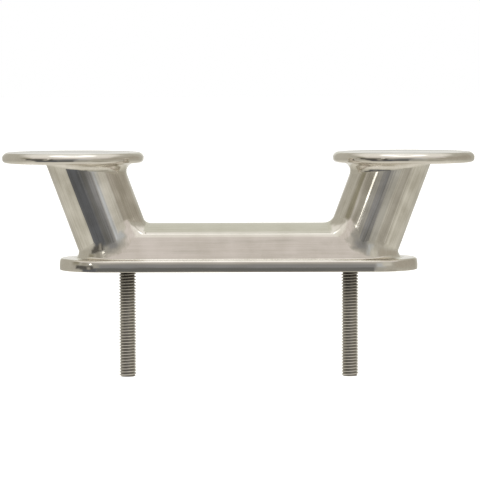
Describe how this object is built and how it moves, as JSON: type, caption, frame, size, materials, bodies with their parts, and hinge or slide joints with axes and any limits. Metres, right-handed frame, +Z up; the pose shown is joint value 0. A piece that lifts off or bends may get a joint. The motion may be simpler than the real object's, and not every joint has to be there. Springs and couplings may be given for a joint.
{
  "type": "fairlead chock",
  "caption": "Polished stainless fairlead chock: a low saddle bar between outward-leaning posts with round flat caps, on a round-ended base with threaded studs below.",
  "frame": {"origin": "middle of the base plate's underside, which is the face that rests on the deck", "axes": "+X along the chock, -Y the front, +Z up from the deck through the caps"},
  "size_m": [0.254, 0.0762, 0.1215],
  "materials": {
    "polished_stainless": "stainless steel, buffed to a mirror with faint lines along the posts",
    "blended_weld": "stainless weld, ground flush and buffed, slightly softer than the plate",
    "rolled_thread": "unpolished stainless with a rolled thread, grey-brown in its roots"
  },
  "bodies": {
    "root": {"base_plate": "polished_stainless", "saddle_bar": "polished_stainless", "left_post": "polished_stainless", "right_post": "polished_stainless", "left_cap": "polished_stainless", "right_cap": "polished_stainless", "base_weld": "blended_weld", "left_cap_weld": "blended_weld", "right_cap_weld": "blended_weld", "left_post_weld": "blended_weld", "right_post_weld": "blended_weld", "left_stud": "rolled_thread", "right_stud": "rolled_thread"}
  },
  "joints": []
}
